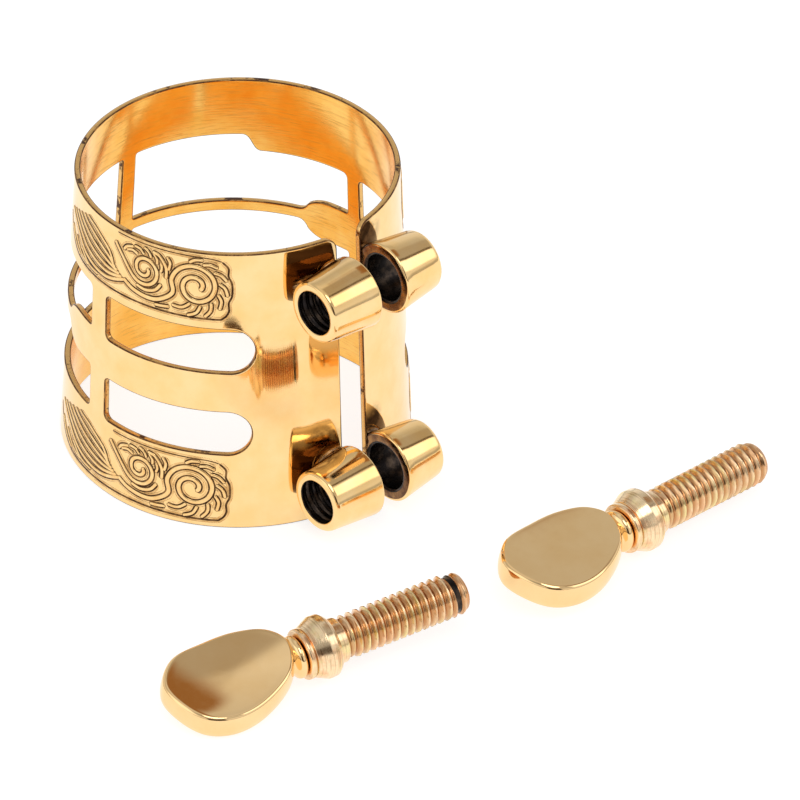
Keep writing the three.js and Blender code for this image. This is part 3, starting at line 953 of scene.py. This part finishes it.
def rounded_profile(corners):
    """A profile of straight runs whose corners are rounded by the given amounts."""
    points = []
    for i, (along, radius, rounding) in enumerate(corners):
        here = np.array((along, radius))
        if rounding == 0:
            points.append(here)
            continue
        ends = []
        for j in (i - 1, i + 1):
            run = np.array(corners[j][:2]) - here
            length = np.linalg.norm(run)
            ends.append(here + run / length * min(rounding, length * 0.45))
        points += bezier(ends[0], here, ends[1], count=5) + [ends[1]]
    return [tuple(p) for p in points]


def paddle_piece(name, matrix, depth, surface):
    """The thumb paddle: flat, faintly dished top, crisp edge, swelling wall, rounded underside."""
    outline = smooth_curve(PADDLE_OUTLINE, 0.22, closed=True)
    centre = np.array((PADDLE_CENTRE, 0.0))
    out = outline - centre
    reach = np.linalg.norm(out, axis=1)[:, None]
    wall = smooth_curve(PADDLE_WALL, 0.09)
    points = []
    for share in (0.25, 0.6, 0.85):
        flat = centre + out * (1 + wall[0][1] / reach) * share
        points.append(np.column_stack([flat, np.full(len(flat), wall[0][0] - 0.02)]))
    for height, swell in wall:
        flat = centre + out * (1 + swell / reach)
        points.append(np.column_stack([flat, np.full(len(flat), height)]))
    top = wall[-1][0]
    edge = [(0.03, 1), (0.06, 1)]
    for inset, share in edge + [(0, share) for share in (0.95, 0.85, 0.7, 0.5, 0.3, 0.15)]:
        flat = centre + out * (1 - inset / reach) * share
        dish = depth * (1 - share**2)
        points.append(np.column_stack([flat, np.full(len(flat), top + 0.004 - dish)]))
    count, rows = len(outline), len(points)
    faces = []
    for row in range(rows - 1):
        faces += ring_faces(row * count, (row + 1) * count, count)
    total = rows * count
    points = np.concatenate(points)
    middles = [(PADDLE_CENTRE, 0, wall[0][0] - 0.02), (PADDLE_CENTRE, 0, top - depth)]
    points = np.vstack([points, *middles])
    faces += [(total, (i + 1) % count, i) for i in range(count)]
    last = (rows - 1) * count
    faces += [(total + 1, last + i, last + (i + 1) % count) for i in range(count)]
    return make_object(name, points, faces, [surface], matrix=matrix)


def neck_piece(name, matrix, surface):
    """The slim neck and its bead, between the paddle and the collar."""
    points, faces = bent_tube(NECK, NECK_SEGMENTS, False)
    return make_object(name, points, [face[::-1] for face in faces], [surface], matrix=matrix)


# ---- Surroundings ----


def floor():
    """A plain pale floor, bright enough to look white, that still takes faint shadows."""
    half = 3.0
    mesh = bpy.data.meshes.new("floor")
    corners = [(-half, -half, 0), (half, -half, 0), (half, half, 0), (-half, half, 0)]
    mesh.from_pydata(corners, [], [(0, 1, 2, 3)])
    piece = bpy.data.objects.new("floor", mesh)
    bpy.context.scene.collection.objects.link(piece)
    material = bpy.data.materials.new("floor_paint")
    material.use_nodes = True
    shader = material.node_tree.nodes["Principled BSDF"]
    shader.inputs["Base Color"].default_value = (0.4, 0.4, 0.4, 1)
    shader.inputs["Roughness"].default_value = 1.0
    shader.inputs["Specular IOR Level"].default_value = 0.0
    shader.inputs["Emission Color"].default_value = (1, 1, 1, 1)
    shader.inputs["Emission Strength"].default_value = 0.78
    mesh.materials.append(material)
    piece.location.z = -0.00002


SKY = [  # height of the direction, brightness
    (0.0, 1.0), (0.02, 0.40), (0.10, 0.50), (0.17, 0.85), (0.45, 0.75), (0.62, 0.52), (0.78, 0.58),
    (0.92, 0.78), (1.0, 0.6),
]
SKY_PATCHES = [  # direction, half its width and height, softness of its edge, colour
    ((-0.50, -0.45, 0.74), 18, 18, 14, (0.36, 0.35, 0.34)),
    ((-0.59, -0.76, 0.20), 18, 17, 6, (0.08, 0.06, 0.045)),
    ((0.56, -0.05, 0.83), 24, 15, 7, (0.43, 0.41, 0.39)),
    ((0.56, 0.10, 0.83), 8, 12.5, 4, (0.30, 0.16, 0.07)),
    ((0.55, -0.59, 0.59), 24, 14, 4, (1.6, 1.6, 1.6)),
    ((0.55, -0.32, 0.77), 24, 3, 3, (0.13, 0.10, 0.07)),
    ((-0.90, 0.20, 0.38), 18, 18, 12, (1.3, 1.3, 1.3)),
]


def sky():
    """Soft light from all round, by height, with brighter and darker panels as in a studio."""
    world = bpy.data.worlds.new("studio")
    bpy.context.scene.world = world
    world.use_nodes = True
    tree = world.node_tree
    direction = tree.nodes.new("ShaderNodeTexCoord").outputs["Generated"]
    split = tree.nodes.new("ShaderNodeSeparateXYZ")
    tree.links.new(direction, split.inputs[0])
    ramp = tree.nodes.new("ShaderNodeValToRGB")
    tree.links.new(split.outputs["Z"], ramp.inputs["Fac"])
    elements = ramp.color_ramp.elements
    while len(elements) < len(SKY):
        elements.new(0.5)
    for element, (height, value) in zip(elements, SKY):
        element.position = height
        element.color = (value, value, value, 1)

    def math_node(operation, first, second):
        """The result of a sum on two numbers or sockets."""
        node = tree.nodes.new("ShaderNodeMath")
        node.operation = operation
        for value, target in ((first, node.inputs[0]), (second, node.inputs[1])):
            if isinstance(value, float):
                target.default_value = value
            else:
                tree.links.new(value, target)
        return node.outputs["Value"]

    def part_along(axis):
        """How much of the direction lies along an axis."""
        dot = tree.nodes.new("ShaderNodeVectorMath")
        dot.operation = "DOT_PRODUCT"
        tree.links.new(direction, dot.inputs[0])
        dot.inputs[1].default_value = axis
        return dot.outputs["Value"]

    def fade(value, full, none):
        """1 at the full limit and past it, 0 at the other, and smooth between them."""
        node = tree.nodes.new("ShaderNodeMapRange")
        node.interpolation_type = "SMOOTHSTEP"
        node.inputs["From Min"].default_value = none
        node.inputs["From Max"].default_value = full
        tree.links.new(value, node.inputs["Value"])
        return node.outputs["Result"]

    colour = ramp.outputs["Color"]
    for towards, width, height, softness, tint in SKY_PATCHES:
        ahead = Vector(towards).normalized()
        sideways = (Vector((1, 0, 0)) - ahead * ahead.x).normalized()
        half_edge = math.sin(math.radians(softness)) / 2
        mask = fade(part_along(ahead), 0.3, 0.1)
        for axis, angle in ((sideways, width), (sideways.cross(ahead), height)):
            limit = math.sin(math.radians(angle))
            offside = math_node("ABSOLUTE", part_along(axis), 0.0)
            mask = math_node("MULTIPLY", mask, fade(offside, limit - half_edge, limit + half_edge))
        mix = tree.nodes.new("ShaderNodeMix")
        mix.data_type = "RGBA"
        tree.links.new(mask, mix.inputs["Factor"])
        tree.links.new(colour, mix.inputs["A"])
        mix.inputs["B"].default_value = (*tint, 1)
        colour = mix.outputs["Result"]
    background = tree.nodes["Background"]
    tree.links.new(colour, background.inputs["Color"])
    background.inputs["Strength"].default_value = 1.0


def soft_sun():
    """A wide, weak lamp from behind the left shoulder, for the faint shadows on the floor."""
    data = bpy.data.lights.new("soft_sun", "SUN")
    data.energy = 0.5
    data.angle = math.radians(30)
    lamp = bpy.data.objects.new("soft_sun", data)
    bpy.context.scene.collection.objects.link(lamp)
    lamp.rotation_euler = (math.radians(25), math.radians(-20), 0)


def camera(centre):
    """A long lens from the front left, looking down on the band and its screws."""
    data = bpy.data.cameras.new("camera")
    data.sensor_width = 36
    data.lens = 567.6
    eye = bpy.data.objects.new("camera", data)
    bpy.context.scene.collection.objects.link(eye)
    eye.location = (Vector(centre) + Vector((-535.1, -602.3, 550.3))) * MM
    eye.rotation_euler = (math.radians(55.8), 0, math.radians(-42.5))
    bpy.context.scene.camera = eye


# ---- The scene ----


def add_band(centre):
    """The sheet in one piece, in place of the band's two halves."""
    surfaces = [polished_gold(centre), sheared_edge(), brushed_inside_painted_bounce(), tarnished_corner()]
    band = band_piece(centre, surfaces)
    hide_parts("band_left_half", "band_right_half")
    flex_x = centre[0] + math.cos(math.radians(FLEX_ANGLE - 90)) * BOTTOM_RADIUS
    start, end = ((flex_x - 2.0) * MM, 0, 0), ((flex_x + 0.15) * MM, 0, 0)
    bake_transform(band)
    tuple(start)
    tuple(end)


def add_scrolls_and_posts(centre, bore_grime_and_shade_surface):
    """What rides on each half of the band: its engraving, its posts and their solder."""
    scroll_surfaces = [scroll_ridge(), scroll_groove(), scroll_stain()]
    # The posts' sides take painted shade next to the plates; the mouths are given a y that no post
    # reaches, so they get none.
    side_surface = post_gold("post_side_surface", centre[1] - 13.0)
    mouth_surface = post_gold("post_mouth_surface", centre[1])
    post_surfaces = [side_surface, bore_grime_and_shade_surface, gap_face(), mouth_surface]
    solder_surface = solder_metal()
    for side, kind in (("left", "threaded"), ("right", "clearance")):
        body = f"{side}_half"
        for level in CARTOUCHES:
            cartouche = cartouche_piece(f"scrolls_{side}_{level}", side, level, centre, scroll_surfaces)
            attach(cartouche, body)
        for level in POST_LEVEL:
            post = post_piece(f"{kind}_post_turned_{level}", side, level, centre, post_surfaces)
            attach(post, body)
            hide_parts(f"{kind}_post_{level}")
            fillet = fillet_piece(f"{kind}_fillet_{level}", side, level, centre, solder_surface)
            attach(fillet, body)
            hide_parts(f"{kind}_solder_{level}")


def add_screws(centre, bore_grime_and_shade_surface):
    """The two thumbscrews where they lie."""
    brass, thumb_gold = turned_brass(), paddle_gold()
    for screw, place in LYING.items():
        matrix = screw_matrix(place, centre)
        rod = rod_piece(f"rod_and_collar_{screw}", matrix, screw == "front", [brass, bore_grime_and_shade_surface])
        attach(rod, f"{screw}_screw")
        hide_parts(f"threaded_rod_{screw}")
        paddle = paddle_piece(f"paddle_{screw}", matrix, PADDLE_DISH[screw], thumb_gold)
        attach(paddle, f"{screw}_screw")
        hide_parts(f"thumb_paddle_{screw}")
        neck = neck_piece(f"neck_{screw}", matrix, thumb_gold)
        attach(neck, f"{screw}_screw")


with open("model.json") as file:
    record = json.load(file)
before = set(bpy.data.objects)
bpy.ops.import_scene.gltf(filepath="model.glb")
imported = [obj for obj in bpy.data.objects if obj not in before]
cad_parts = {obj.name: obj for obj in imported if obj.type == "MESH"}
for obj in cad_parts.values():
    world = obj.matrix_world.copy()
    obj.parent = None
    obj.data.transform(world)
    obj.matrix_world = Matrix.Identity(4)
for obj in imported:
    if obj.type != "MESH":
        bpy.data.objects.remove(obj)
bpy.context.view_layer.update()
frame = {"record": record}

space = frame["record"]["physics"]["openings"][0]["box_m"]
middle = [(space[0][k] + space[1][k]) / 2 / MM for k in (0, 1)]
centre = np.array((*middle, 0.0))

add_band(centre)
bore_grime_and_shade_surface = bore_grime_and_shade()
add_scrolls_and_posts(centre, bore_grime_and_shade_surface)
add_screws(centre, bore_grime_and_shade_surface)

floor()
sky()
soft_sun()
camera(centre)
bpy.context.scene.view_settings.view_transform = "Standard"
bpy.context.scene.view_settings.look = "None"
